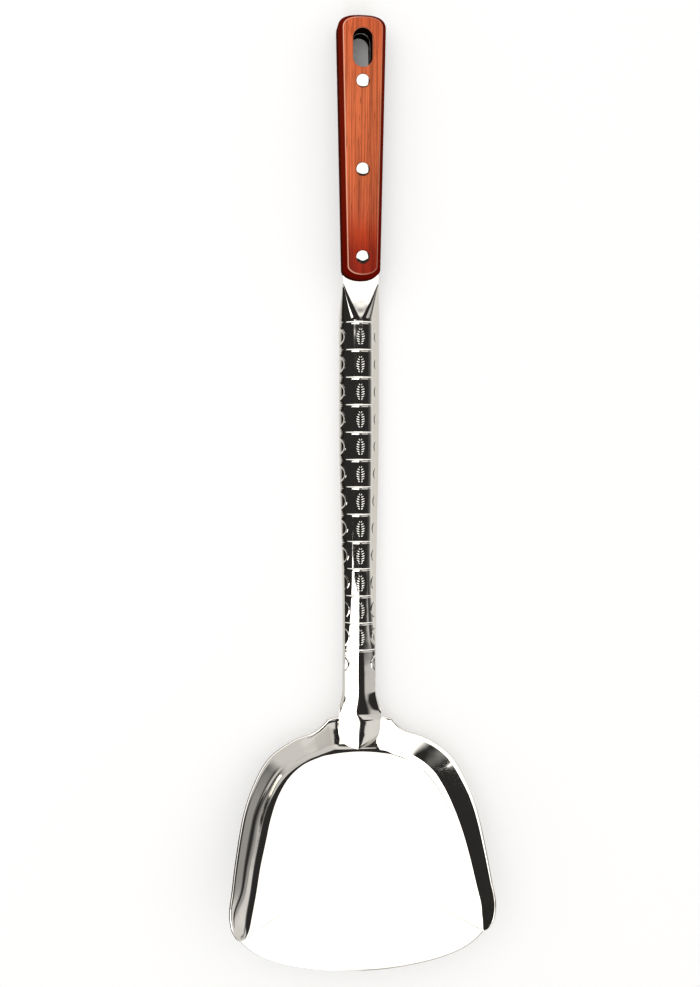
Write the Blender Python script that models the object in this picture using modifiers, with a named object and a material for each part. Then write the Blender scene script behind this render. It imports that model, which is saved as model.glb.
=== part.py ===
"""Wok turner: a pressed steel shovel blade, an embossed channel shank and a riveted wooden grip.

The blade lies flat, its underside on Z = 0 and its open edge towards -Y, with the origin under the
middle of its floor. The shank is welded inside the blade's rear wall and climbs towards +Y, where two
wooden scales and three pins hold its flat tang. The part is alike left and right. Lengths are metres.
"""

from math import atan2, cos, pi, radians, sin, sqrt, tan

import bmesh
import bpy
import numpy as np
from mathutils import Matrix, Vector

OBJECT_NAME = "wok_turner"

# Shared by all pieces
GAP = 0.0003  # clearance where two pieces meet
OVERRUN = 0.003  # how far a cutter runs past what it cuts
MERGE_DISTANCE = 0.00005
SHARP_ANGLE = 28.0  # degrees between faces above which an edge shows as sharp

# Blade, pressed from one sheet
BLADE_SHEET = 0.001
BLADE_SIDE_LENGTH = 0.0698  # heel to the tips of the side walls
FRONT_BOW = 0.0126  # how far the open edge bows out past the tips
TIP_WIDTH = 0.0968
WALL_FLARE = 0.0094  # how far the walls lean out, in plan
WALL_HEIGHT = 0.012
FRONT_CORNER_share = 0.33  # part of the bow that is kept for rounding the corners
FRONT_CORNER_POWER = 8
FILLET_OUT_share = 0.26
FILLET_POWER = 2.2
FILLET_STEPS = 4
STEPS_PER_STATION = 3

# Stations round half of the blade, from the heel's middle to the tip. Shares of side length and half
# tip width, then of flare and height, then where the crease runs across the wall and how high it and
# the fillet are there. The second station is the edge of the flat land that the shank is welded to.
BLADE_STATION_shares = (
    (0.000, 0.000, 1.33, 1.00, 0.32, 0.185, 0.115),
    (0.000, None, 1.33, 1.00, 0.32, 0.185, 0.115),
    (0.024, 0.310, 1.03, 0.92, 0.33, 0.210, 0.130),
    (0.065, 0.455, 0.98, 0.89, 0.34, 0.265, 0.150),
    (0.137, 0.582, 0.95, 0.87, 0.39, 0.360, 0.160),
    (0.235, 0.667, 0.95, 0.86, 0.46, 0.470, 0.170),
    (0.349, 0.739, 0.90, 0.85, 0.53, 0.560, 0.170),
    (0.476, 0.797, 0.84, 0.83, 0.58, 0.620, 0.170),
    (0.617, 0.843, 0.84, 0.78, 0.62, 0.660, 0.170),
    (0.756, 0.885, 0.79, 0.67, 0.66, 0.700, 0.170),
    (0.866, 0.920, 0.71, 0.51, 0.72, 0.750, 0.170),
    (0.942, 0.947, 0.57, 0.32, 0.80, 0.820, 0.170),
    (0.979, 0.973, 0.34, 0.16, 0.86, 0.880, 0.170),
    (1.000, 1.000, 0.08, 0.05, 0.90, 0.920, 0.170),
)

# Shank, one strip from the tongue on the blade to the tang in the grip. Places along it are counted
# from the corner where the tongue's slope would meet the shank's.
SHANK_SHEET = 0.0012
SHANK_RISE = 17.5  # degrees up from the table
BEND_RADIUS = 0.006
TONGUE_WIDTH = 0.0165
TONGUE_ROUND = 0.0095  # length of the tongue's rounded end
LAND_MARGIN = 0.0004  # flat land of the blade past each side of the tongue
NECK_WIDTH = 0.0131
CHANNEL_WIDTH = 0.0155
CHANNEL_DEPTH = 0.0052
FLATTEN_LENGTH = 0.0090  # from full channel down to the flat tongue
NECK_END = 0.044
WIDE_START = 0.115
RIB_COUNT = 13
RIB_PITCH = 0.0106
FIRST_RIB = 0.0266
RIB_WIDTH = 0.0024
RIB_HEIGHT = 0.0004
RIB_CREST_share = 0.35
SPADE_LENGTH = 0.0126  # the V where the channel flattens into the tang
SPADE_CLEARANCE = 0.0016  # last rib to the point of the V
CROWN_FLAT_share = 0.10
TANG_FLAT_share = 0.92
ARCH_STEPS = 4
FLAT_STEPS = 2
TONGUE_STEPS = 5
BEND_STEPS = 3
EASE_STEPS = 5
BLUNT_ANGLE = 14.0  # degrees round the tongue's end at which its first row is cut off straight

# Grip: two scales over the tang
GRIP_START = 0.1697
GRIP_LENGTH = 0.0988
GRIP_LOW_WIDTH = 0.0143
GRIP_TOP_WIDTH = 0.0185
SCALE_THICKNESS = 0.0066
SCALE_LAND = 0.0028  # upright part of a scale's side, next to the tang
SCALE_BEVEL = 0.0020  # how far the side leans in above that
GRIP_TOP_DEPTH = 0.0056
GRIP_LOW_DEPTH = 0.0042
GRIP_TOP_POWER = 2.7
GRIP_LOW_POWER = 2.1
CAP_STEPS = 14
TANG_INSET = 0.0003

# Pins spread evenly through the grip, and the slot that it hangs by
PIN_DIAMETER = 0.0046
PIN_SETBACK = 0.0082  # lowest pin from the grip's low end
PIN_TOP_SETBACK = 0.0252  # highest pin from the grip's top end, below the slot
PIN_COUNT = 3
PIN_SIDES = 32
PIN_CHAMFER = 0.0002
SLOT_WIDTH = 0.0074
SLOT_LENGTH = 0.0145
SLOT_SETBACK = 0.0056  # slot from the grip's top end
SLOT_STEPS = 12

STEEL_COLOUR = (0.78, 0.77, 0.75, 1.0)
STEEL_ROUGHNESS = 0.08
WOOD_COLOUR = (0.48, 0.10, 0.035, 1.0)
WOOD_ROUGHNESS = 0.32

FLOOR_LENGTH = BLADE_SIDE_LENGTH + FRONT_BOW
HEEL = FLOOR_LENGTH / 2
HALF_TIP = TIP_WIDTH / 2
HALF_TONGUE = TONGUE_WIDTH / 2
LAST_RIB = FIRST_RIB + (RIB_COUNT - 1) * RIB_PITCH
SPADE_POINT = LAST_RIB + SPADE_CLEARANCE
GRIP_END = GRIP_START + GRIP_LENGTH
RISE = radians(SHANK_RISE)


def clear_scene():
    for obj in list(bpy.data.objects):
        bpy.data.objects.remove(obj, do_unlink=True)


def new_collection(name):
    collection = bpy.data.collections.new(name)
    bpy.context.scene.collection.children.link(collection)
    return collection


def principled(name, colour, metallic, roughness):
    material = bpy.data.materials.new(name)
    material.use_nodes = True
    shader = material.node_tree.nodes["Principled BSDF"]
    shader.inputs["Base Color"].default_value = colour
    shader.inputs["Metallic"].default_value = metallic
    shader.inputs["Roughness"].default_value = roughness
    return material


def add_object(name, mesh, collection, material=None):
    obj = bpy.data.objects.new(name, mesh)
    collection.objects.link(obj)
    if material:
        mesh.materials.append(material)
    mesh.shade_smooth()
    mesh.set_sharp_from_angle(angle=radians(SHARP_ANGLE))
    return obj


def mesh_from(name, build):
    """A mesh that the function build fills through bmesh."""
    bm = bmesh.new()
    build(bm)
    bmesh.ops.remove_doubles(bm, verts=bm.verts, dist=MERGE_DISTANCE)
    mesh = bpy.data.meshes.new(name)
    bm.to_mesh(mesh)
    bm.free()
    return mesh


def ease(share):
    share = min(max(share, 0.0), 1.0)
    return share * share * (3 - 2 * share)


def blend(start, end, share):
    return start + (end - start) * share


def add_grid(bm, rows):
    """Quads between rows of points. They face up where the points run to +X and the rows to -Y."""
    grid = [[bm.verts.new(point) for point in row] for row in rows]
    for near, far in zip(grid, grid[1:]):
        for k in range(len(near) - 1):
            bm.faces.new((near[k], far[k], far[k + 1], near[k + 1]))
    return grid


def sheet_modifiers(obj, thickness):
    """Both halves of a pressed piece, with its sheet laid under the modelled face."""
    mirror = obj.modifiers.new("both_halves", "MIRROR")
    mirror.merge_threshold = MERGE_DISTANCE
    solidify = obj.modifiers.new("sheet", "SOLIDIFY")
    solidify.thickness = thickness
    solidify.offset = -1.0
    solidify.use_even_offset = True


def blade_stations():
    """The table as lengths: the flat land, then further stations on a curve through the rest."""
    land = (HALF_TONGUE + LAND_MARGIN) / HALF_TIP
    table = [[land if value is None else value for value in row] for row in BLADE_STATION_shares]
    table = np.array(table)
    found = [table[0]]
    before = 2 * table[1] - table[2]
    after = 2 * table[-1] - table[-2]
    table = np.vstack([before, table[1:], after])
    for a, b, c, d in zip(table, table[1:], table[2:], table[3:]):
        for step in range(STEPS_PER_STATION):
            t = step / STEPS_PER_STATION
            curve = 2 * b + (c - a) * t + (2 * a - 5 * b + 4 * c - d) * t**2
            found.append((curve + (3 * b - a - 3 * c + d) * t**3) / 2)
    found.append(table[-2])
    scale = [BLADE_SIDE_LENGTH, HALF_TIP, WALL_FLARE, WALL_HEIGHT, 1, 1, 1]
    return np.array(found) * scale


def wall_profile(crease_out, crease_up, fillet_up):
    """Shares outwards and upwards, from the floor through the fillet and the crease to the rim."""
    points = []
    for step in range(FILLET_STEPS + 1):
        share = step / FILLET_STEPS
        points.append((share * FILLET_OUT_share, share**FILLET_POWER * fillet_up))
    return points + [(crease_out, crease_up), (1.0, 1.0)]


def front_bow(across):
    """The open edge's bow as a share of its most, from 1 in the middle to 0 at the tips."""
    corner = FRONT_CORNER_share * across**FRONT_CORNER_POWER
    return 1 - (1 - FRONT_CORNER_share) * across**2 - corner


def blade_surface(bm):
    stations = blade_stations()
    along = np.gradient(stations[:, :2], axis=0)
    along[0] = (0, 1)
    rows = []
    for (down, across, flare, height, *shape), (d_down, d_across) in zip(stations, along):
        length = sqrt(d_down**2 + d_across**2)
        out_y, out_x = d_across / length, d_down / length
        row = []
        for out, up in wall_profile(*shape):
            x = across + out_x * flare * out
            y = HEEL - down + out_y * flare * out
            row.append(Vector((x, y, BLADE_SHEET + up * height)))
        rows.append(row)
    grid = add_grid(bm, rows)
    edge = [row[0] for row in grid]
    for x in reversed(np.linspace(0, HALF_TIP, len(stations))[:-1]):
        y = HEEL - BLADE_SIDE_LENGTH - FRONT_BOW * front_bow(x / HALF_TIP)
        edge.append(bm.verts.new((x, y, BLADE_SHEET)))
    bm.faces.new(edge[::-1])


def wall_seat():
    """The straight part of the rear wall's inner face, as its low end, its top and its slope."""
    _, _, flare_share, height_share, _, _, fillet_share = BLADE_STATION_shares[0]
    flare = flare_share * WALL_FLARE
    height = height_share * WALL_HEIGHT
    low = Vector((HEEL + FILLET_OUT_share * flare, BLADE_SHEET + fillet_share * height))
    top = Vector((HEEL + flare, BLADE_SHEET + height))
    return low, top, atan2(top.y - low.y, top.x - low.x)


def shank_corner():
    """Where the tongue's top line would meet the shank's, and how far down the tongue reaches."""
    low, top, slope = wall_seat()
    up_wall = Vector((cos(slope), sin(slope)))
    off_wall = Vector((-sin(slope), cos(slope)))
    tangent = BEND_RADIUS * tan((slope - RISE) / 2)
    corner = top + off_wall * (GAP + SHANK_SHEET) + up_wall * tangent
    return corner, tangent, (top - low).length + tangent


def shank_path(place):
    """A point on the shank's top line, as (y, z), and the slope there."""
    corner, tangent, _ = shank_corner()
    slope = wall_seat()[2]
    if place <= -tangent:
        return corner + place * Vector((cos(slope), sin(slope))), slope
    if place >= tangent:
        return corner + place * Vector((cos(RISE), sin(RISE))), RISE
    angle = blend(slope, RISE, (place + tangent) / (2 * tangent))
    bend_end = corner + tangent * Vector((cos(RISE), sin(RISE)))
    centre = bend_end - BEND_RADIUS * Vector((-sin(RISE), cos(RISE)))
    return centre + BEND_RADIUS * Vector((-sin(angle), cos(angle))), angle


def shank_half_width(place):
    _, tangent, reach = shank_corner()
    round_end = TONGUE_ROUND - reach
    if place < round_end:
        share = (round_end - place) / TONGUE_ROUND
        return HALF_TONGUE * sqrt(max(1 - share**2, 0))
    if place < NECK_END:
        return blend(HALF_TONGUE, NECK_WIDTH / 2, ease((place - tangent) / FLATTEN_LENGTH))
    if place < SPADE_POINT:
        return blend(NECK_WIDTH, CHANNEL_WIDTH, ease((place - NECK_END) / (WIDE_START - NECK_END))) / 2
    tang = GRIP_LOW_WIDTH / 2 - TANG_INSET
    return blend(CHANNEL_WIDTH / 2, tang, ease((place - SPADE_POINT) / (GRIP_START - SPADE_POINT)))


def flat_share(place):
    share = (place - SPADE_POINT) / SPADE_LENGTH
    return blend(CROWN_FLAT_share, TANG_FLAT_share, min(max(share, 0.0), 1.0))


def channel_drop(place):
    """How far the strip's edges hang below its top line."""
    tangent = shank_corner()[1]
    narrow = shank_half_width(place) / (CHANNEL_WIDTH / 2)
    folded = (TANG_FLAT_share - flat_share(place)) / (TANG_FLAT_share - CROWN_FLAT_share)
    return CHANNEL_DEPTH * min(narrow, 1) * folded * ease((place - tangent) / FLATTEN_LENGTH)


def rib_places():
    return [FIRST_RIB + k * RIB_PITCH for k in range(RIB_COUNT)]


def rib_rise(place):
    nearest = min(abs(place - rib) for rib in rib_places())
    crest = RIB_CREST_share * RIB_WIDTH / 2
    slope = (RIB_WIDTH / 2 - nearest) / (RIB_WIDTH / 2 - crest)
    return RIB_HEIGHT * min(max(slope, 0.0), 1.0)


def shank_rows():
    """Places along the shank that get a row of points, from the tongue to the tang's end."""
    _, tangent, reach = shank_corner()
    places = []
    for step in range(TONGUE_STEPS + 1):
        angle = blend(radians(BLUNT_ANGLE), pi / 2, step / TONGUE_STEPS)
        places.append(TONGUE_ROUND * (1 - cos(angle)) - reach)
    places += [blend(-tangent, tangent, step / BEND_STEPS) for step in range(BEND_STEPS + 1)]
    places += [tangent + FLATTEN_LENGTH * step / EASE_STEPS for step in range(1, EASE_STEPS + 1)]
    for rib in rib_places():
        half = RIB_WIDTH / 2
        places += [rib - half, rib - half * RIB_CREST_share, rib + half * RIB_CREST_share, rib + half]
    places += [SPADE_POINT + SPADE_LENGTH * step / EASE_STEPS for step in range(EASE_STEPS + 1)]
    return places


def section_shares(flat):
    """Where points lie across half of the strip: over its flat crown, then down to its edge."""
    shares = [flat * step / FLAT_STEPS for step in range(FLAT_STEPS + 1)]
    return shares + [blend(flat, 1, step / ARCH_STEPS) for step in range(1, ARCH_STEPS + 1)]


def shank_section(place):
    """Half of the strip's top face across the shank, from its middle out to its edge."""
    (y, z), slope = shank_path(place)
    half = shank_half_width(place)
    flat = flat_share(place)
    row = []
    for share in section_shares(flat):
        fall = channel_drop(place) * (max(share - flat, 0) / (1 - flat)) ** 2 - rib_rise(place)
        row.append(Vector((half * share, y + fall * sin(slope), z - fall * cos(slope))))
    return row


def grip_half_width(along):
    return blend(GRIP_LOW_WIDTH, GRIP_TOP_WIDTH, along / GRIP_LENGTH) / 2


def cap_curve(depth, power, steps):
    """Shares of half width and depth round a quarter of a rounded end, from its side to its middle."""
    found = []
    for step in range(steps + 1):
        angle = pi / 2 * step / steps
        found.append((cos(angle) ** (2 / power), depth * sin(angle) ** (2 / power)))
    return found


def grip_half_outline(inset):
    """Right half of the grip's outline from its low end to its top, drawn in by inset."""
    low = cap_curve(GRIP_LOW_DEPTH - inset, GRIP_LOW_POWER, CAP_STEPS)
    top = cap_curve(GRIP_TOP_DEPTH - inset, GRIP_TOP_POWER, CAP_STEPS)
    points = []
    for across, depth in reversed(low):
        y = GRIP_LOW_DEPTH - depth
        points.append((across * (grip_half_width(y) - inset), GRIP_START + y))
    for across, depth in top:
        y = GRIP_LENGTH - GRIP_TOP_DEPTH + depth
        points.append((across * (grip_half_width(y) - inset), GRIP_START + y))
    return points


def tang_rows():
    """The tang inside the grip, which follows the grip's outline up to its rounded end."""
    rows = []
    for across, place in grip_half_outline(TANG_INSET):
        if place > GRIP_START + GRIP_LOW_DEPTH and across > MERGE_DISTANCE:
            (y, z), _ = shank_path(place)
            rows.append([Vector((across * share, y, z)) for share in section_shares(TANG_FLAT_share)])
    return rows


def shank_surface(bm):
    rows = [shank_section(place) for place in shank_rows()] + tang_rows()
    add_grid(bm, rows[::-1])


def closed_outline(half):
    return half + [(-x, y) for x, y in half[-2:0:-1]]


def scale_solid(bm):
    """A scale with its flat back on Z = 0: an upright land, then a leaning side up to the face."""
    levels = ((0.0, 0.0), (0.0, SCALE_LAND), (SCALE_BEVEL, SCALE_THICKNESS))
    rings = []
    for inset, z in levels:
        outline = closed_outline(grip_half_outline(inset))
        rings.append([bm.verts.new((x, y, z)) for x, y in outline])
    count = len(rings[0])
    for low, high in zip(rings, rings[1:]):
        for k in range(count):
            after = (k + 1) % count
            bm.faces.new((low[k], low[after], high[after], high[k]))
    bm.faces.new(rings[0][::-1])
    bm.faces.new(rings[-1])


def slot_solid(bm):
    """The hanging slot's cutter: two round ends joined by straight sides."""
    radius = SLOT_WIDTH / 2
    far = GRIP_END - SLOT_SETBACK - radius
    near = far - (SLOT_LENGTH - SLOT_WIDTH)
    outline = []
    for centre, start in ((far, 0), (near, pi)):
        for step in range(SLOT_STEPS + 1):
            angle = start + pi * step / SLOT_STEPS
            outline.append((radius * cos(angle), centre + radius * sin(angle)))
    half = SCALE_THICKNESS + SHANK_SHEET + OVERRUN
    low = [bm.verts.new((x, y, -half)) for x, y in outline]
    high = [bm.verts.new((x, y, half)) for x, y in outline]
    for k in range(len(outline)):
        after = (k + 1) % len(outline)
        bm.faces.new((low[k], low[after], high[after], high[k]))
    bm.faces.new(low[::-1])
    bm.faces.new(high)


def round_bar(name, radius, length, collection, material=None):
    bpy.ops.mesh.primitive_cylinder_add(vertices=PIN_SIDES, radius=radius, depth=length)
    obj = bpy.context.active_object
    obj.name = name
    obj.data.name = name
    for old in list(obj.users_collection):
        old.objects.unlink(obj)
    collection.objects.link(obj)
    if material:
        obj.data.materials.append(material)
    obj.data.shade_smooth()
    obj.data.set_sharp_from_angle(angle=radians(SHARP_ANGLE))
    return obj


def add_grip_frame(collection):
    """An empty at the shank's corner, turned with the shank, that carries the grip's pieces."""
    frame = bpy.data.objects.new("grip_frame", None)
    collection.objects.link(frame)
    corner = shank_corner()[0]
    frame.location = (0, corner.x, corner.y)
    frame.rotation_euler = (RISE, 0, 0)
    return frame


def pin_places():
    lowest = GRIP_START + PIN_SETBACK
    spacing = (GRIP_END - PIN_TOP_SETBACK - lowest) / (PIN_COUNT - 1)
    return [lowest + k * spacing for k in range(PIN_COUNT)]


def make_cutters(collection, frame):
    slot = add_object("slot_cutter", mesh_from("slot_cutter", slot_solid), collection)
    cutters = [slot]
    reach = 2 * (SCALE_THICKNESS + SHANK_SHEET + OVERRUN)
    for number, place in enumerate(pin_places(), start=1):
        cutter = round_bar(f"pin_cutter_{number}", PIN_DIAMETER / 2 + GAP, reach, collection)
        cutter.location = (0, place, 0)
        cutters.append(cutter)
    for cutter in cutters:
        cutter.parent = frame
        cutter.hide_render = True
        cutter.display_type = "WIRE"


def cut_with(obj, cutters):
    cut = obj.modifiers.new("holes", "BOOLEAN")
    cut.operation = "DIFFERENCE"
    cut.solver = "EXACT"
    cut.operand_type = "COLLECTION"
    cut.collection = cutters


def make_blade(collection, steel):
    blade = add_object("blade", mesh_from("blade", blade_surface), collection, steel)
    sheet_modifiers(blade, BLADE_SHEET)


def make_shank(collection, cutters, steel):
    shank = add_object("shank", mesh_from("shank", shank_surface), collection, steel)
    sheet_modifiers(shank, SHANK_SHEET)
    cut_with(shank, cutters)


def make_scales(collection, cutters, frame, wood):
    mesh = mesh_from("scale", scale_solid)
    front = add_object("front_scale", mesh, collection, wood)
    front.location = (0, 0, GAP)
    back = add_object("back_scale", mesh.copy(), collection)
    back.data.transform(Matrix.Diagonal((1, 1, -1, 1)))
    back.data.flip_normals()
    back.location = (0, 0, -SHANK_SHEET - GAP)
    for scale in (front, back):
        scale.parent = frame
        cut_with(scale, cutters)


def make_pins(collection, frame, steel):
    length = 2 * (SCALE_THICKNESS + GAP) + SHANK_SHEET
    names = ("lower_rivet", "middle_rivet", "upper_rivet")
    for number, place in enumerate(pin_places()):
        name = names[number] if PIN_COUNT == len(names) else f"rivet_{number + 1}"
        pin = round_bar(name, PIN_DIAMETER / 2, length, collection, steel)
        pin.location = (0, place, -SHANK_SHEET / 2)
        pin.parent = frame
        bevel = pin.modifiers.new("edges", "BEVEL")
        bevel.width = PIN_CHAMFER
        bevel.segments = 1
        bevel.limit_method = "ANGLE"
        bevel.angle_limit = radians(SHARP_ANGLE)


def main():
    clear_scene()
    parts = new_collection(OBJECT_NAME)
    cutters = new_collection("cutters")
    steel = principled("stainless_steel", STEEL_COLOUR, 1.0, STEEL_ROUGHNESS)
    wood = principled("red_hardwood", WOOD_COLOUR, 0.0, WOOD_ROUGHNESS)
    frame = add_grip_frame(parts)
    make_cutters(cutters, frame)
    make_blade(parts, steel)
    make_shank(parts, cutters, steel)
    make_scales(parts, cutters, frame, wood)
    make_pins(parts, frame, steel)


main()
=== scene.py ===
"""A wok turner: polished steel blade and embossed shank, lacquered hardwood grip with three rivets.

The frame has the blade flat on Z = 0 with its open edge towards -Y. In the photograph the turner has
tipped back onto its grip, so the table is a sloping plane here, under the heel and the grip's end.
Lengths are in metres, and a place is a length up the strip from its corner above the blade's heel.
"""

from math import atan2, cos, pi, radians, sin, sqrt, tan

import bmesh
import bpy
import numpy as np
from mathutils import Matrix, Vector


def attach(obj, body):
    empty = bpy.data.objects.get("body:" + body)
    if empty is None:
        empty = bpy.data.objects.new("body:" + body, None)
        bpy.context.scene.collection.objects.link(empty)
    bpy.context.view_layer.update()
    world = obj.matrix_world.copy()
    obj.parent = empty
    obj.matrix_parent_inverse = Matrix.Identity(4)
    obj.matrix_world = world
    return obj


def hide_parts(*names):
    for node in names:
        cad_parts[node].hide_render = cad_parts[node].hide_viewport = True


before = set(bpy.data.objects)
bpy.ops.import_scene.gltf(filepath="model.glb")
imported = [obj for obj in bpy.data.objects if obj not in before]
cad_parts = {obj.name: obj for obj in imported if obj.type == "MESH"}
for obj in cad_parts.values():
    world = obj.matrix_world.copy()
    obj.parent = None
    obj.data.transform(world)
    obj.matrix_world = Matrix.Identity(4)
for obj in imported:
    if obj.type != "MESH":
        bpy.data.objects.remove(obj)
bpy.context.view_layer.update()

# The blade
HEEL = 0.0412
HALF_TIP = 0.0484
SIDE_LENGTH = 0.0698
FRONT_BOW = 0.0123
SHEET = 0.001
SHEET_EDGE_BULGE = 0.0003
WALL_FLARE = 0.0094
WALL_HEIGHT = 0.012
HEEL_FLARE = 1.33  # the heel's wall, in flares
FILLET_OUT = 0.26  # the fillet's width, in flares
FILLET_RISE = 0.115  # its height at the heel, in wall heights
FILLET_LOW_SLOPE = 0.14
FILLET_TOP_SLOPE = 0.62  # in slopes of the facet above it
LEDGE_SLOPE = 0.36
RIGHT_LEDGE = 0.02
ARCH_RADIUS = 0.057
HALF_LAND = 0.00865
SEAT_ANGLE = 48.95
# Round the blade from heel to tip: down in side lengths, across in half tips, flare in wall flares, then
# crease and ledge in flares, the inner and outer facets' slopes in degrees, and the right fillet in flares
WALL_TABLE = (
    (0.000, 0.000, HEEL_FLARE, 0.32, 0.00, SEAT_ANGLE, SEAT_ANGLE, 0.26),
    (0.000, HALF_LAND / HALF_TIP, HEEL_FLARE, 0.32, 0.00, SEAT_ANGLE, SEAT_ANGLE, 0.26),
    (0.024, 0.305, 0.99, 0.36, 0.00, 48.0, 48.0, 0.26),
    (0.065, 0.447, 1.03, 0.42, 0.02, 46.0, 46.0, 0.26),
    (0.137, 0.568, 1.13, 0.47, 0.04, 43.9, 43.0, 0.26),
    (0.235, 0.657, 1.10, 0.53, 0.06, 42.8, 41.8, 0.27),
    (0.349, 0.718, 1.10, 0.60, 0.07, 42.6, 41.2, 0.32),
    (0.476, 0.762, 1.085, 0.60, 0.07, 42.2, 40.8, 0.40),
    (0.617, 0.810, 1.01, 0.61, 0.06, 42.4, 40.8, 0.44),
    (0.756, 0.846, 0.96, 0.64, 0.05, 43.0, 41.6, 0.49),
    (0.866, 0.879, 0.90, 0.84, 0.03, 43.6, 43.4, 0.53),
    (0.942, 0.904, 0.71, 0.90, 0.00, 43.8, 43.8, 0.53),
    (0.979, 0.930, 0.46, 0.90, 0.00, 44.0, 44.0, 0.50),
    (0.995, 0.956, 0.25, 0.90, 0.00, 40.0, 40.0, 0.40),
    (1.000, 0.972, 0.05, 0.90, 0.00, 30.0, 30.0, 0.26),
)
LAND_STEPS = 6
CURVE_STEPS = 14
FLOOR_RINGS = (0.997, 0.985, 0.8, 0.5, 0.2)

# The shank
GAP = 0.0003
STRIP = 0.0012
RISE = radians(17.5)
BEND_RADIUS = 0.006
HALF_TONGUE = 0.00825
TONGUE_ROUND = 0.0095
TONGUE_CROWN = 0.0009
TONGUE_END_LIFT = 0.0008
NECK = 0.0131
NECK_END = 0.044
CHANNEL = 0.0155
CHANNEL_DEPTH = 0.0052
FLATTEN = 0.009
WIDE_START = 0.115
RIB_COUNT = 13
RIB_PITCH = 0.0106
RIBS = [0.0266 + RIB_PITCH * k for k in range(RIB_COUNT)]
RIB_HEIGHT = 0.00016
RIB_HALF_CREST = 0.00008
RIB_FALL = 0.0005
RING_RADIUS = 0.0033
RING_OFF_EDGE = 0.0004  # its centre lies this far off the strip
RING_HALF_WIDTH = 0.0004
RING_HEIGHT = 0.00022
WELD_ACROSS = -0.0054
WELD_PLACE = -0.0065
WELD_RADIUS = 0.0006
WELD_DEPTH = 0.00016
RIBBED_START = 0.0145
RIBBED_END = 0.1625
SPADE_POINT = RIBS[-1] + 0.0016
SPADE_LENGTH = 0.0126
STRIP_END = 0.1746
TANG_START = 0.1742

# The ears of wheat, one between each two ribs, each of rows of two grains
EAR_COUNTS = {"Ears": RIB_COUNT - 1, "Rows": 7}
EAR_SIZES = {
    "Ear Pitch": RIB_PITCH,
    "Row Pitch": 0.00092,
    "Column Offset": 0.00103,
    "Grain Length": 0.00078,
    "Grain Width": 0.00021,
    "Grain Height": 0.00026,
    "Slant": radians(70),
}
EAR_WIDEST = 0.45  # up the ear, in its lengths
EAR_TAPER = 2.1

# The grip
GRIP_START = 0.1697
GRIP_LENGTH = 0.0988
GRIP_END = GRIP_START + GRIP_LENGTH
GRIP_LOW = 0.0143
GRIP_TOP = 0.0185
GRIP_LOW_DEPTH = 0.0042
GRIP_TOP_DEPTH = 0.0056
GRIP_LOW_POWER = 2.1
GRIP_TOP_POWER = 2.7
SCALE_THICKNESS = 0.0066
GRIP_FACE = GAP + SCALE_THICKNESS  # over the tang's upper face
PIN_PLACES = [GRIP_START + 0.0082 + 0.0327 * k for k in range(3)]
PIN_RADIUS = 0.0025
SLOT_RADIUS = 0.0037
SLOT_LENGTH = 0.0145
SLOT_HIGH = GRIP_END - 0.0056
SLOT_LOW = SLOT_HIGH - SLOT_LENGTH

TABLE_SLOPE = radians(18.05)
TABLE_HALF = 2.2
TABLE_CLEARANCE = 0.0003


def linear(code):
    """An sRGB hex colour as the linear one that shaders take."""
    parts = [int(code[k : k + 2], 16) / 255 for k in (1, 3, 5)]
    parts = [c / 12.92 if c <= 0.04045 else ((c + 0.055) / 1.055) ** 2.4 for c in parts]
    return (*parts, 1.0)


def add_node(tree, kind, inputs=None, **settings):
    """A node with its settings. An input given as a socket is linked, any other is a value."""
    node = tree.nodes.new(kind)
    for name, value in settings.items():
        setattr(node, name, value)
    for key, value in (inputs or {}).items():
        if isinstance(value, bpy.types.NodeSocket):
            tree.links.new(value, node.inputs[key])
        else:
            node.inputs[key].default_value = value
    return node


def product_of_steps(tree, steps):
    """Where a layer or a light lies, as soft steps multiplied together. A step says what it measures,
    where it starts and ends, and its value before and after, 0 and 1 when left out."""
    product = None
    for measure, start, end, *values in steps:
        before, after = values or (0.0, 1.0)
        step = add_node(
            tree,
            "ShaderNodeMapRange",
            {"Value": measure, "From Min": start, "From Max": end, "To Min": before, "To Max": after},
            interpolation_type="SMOOTHSTEP",
        ).outputs[0]
        if product:
            step = add_node(tree, "ShaderNodeMath", {0: product, 1: step}, operation="MULTIPLY").outputs[0]
        product = step
    return product


def smooth(share):
    """Eases from 0 to 1 while the share goes from 0 to 1."""
    share = np.clip(share, 0.0, 1.0)
    return share * share * (3 - 2 * share)


def mix(low, high, share):
    return low + (high - low) * share


def put_in_scene(name, data):
    thing = bpy.data.objects.new(name, data)
    bpy.context.scene.collection.objects.link(thing)
    return thing


def place_piece(name, mesh, material, nodes=(), sharp=35.0):
    """Shows a mesh, given in the frame's own places, as a piece of the rigid body. Edges that turn by more
    than the sharp angle, in degrees, stay sharp."""
    piece = put_in_scene(name, mesh)
    if material:
        mesh.materials.clear()
        mesh.materials.append(material)
    mesh.shade_smooth()
    mesh.set_sharp_from_angle(angle=radians(sharp))
    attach(piece, "root")
    if nodes:
        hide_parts(*nodes)


def mesh_of(name, points, faces):
    """A new mesh, with any faulty face taken out."""
    mesh = bpy.data.meshes.new(name)
    mesh.from_pydata([tuple(map(float, p)) for p in points], [], faces)
    mesh.validate()
    return mesh


def close_and_turn_out(mesh):
    """Joins points that coincide and turns every face outwards."""
    bm = bmesh.new()
    bm.from_mesh(mesh)
    bmesh.ops.remove_doubles(bm, verts=bm.verts, dist=0.000004)
    bmesh.ops.recalc_face_normals(bm, faces=bm.faces)
    bm.to_mesh(mesh)
    bm.free()


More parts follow.
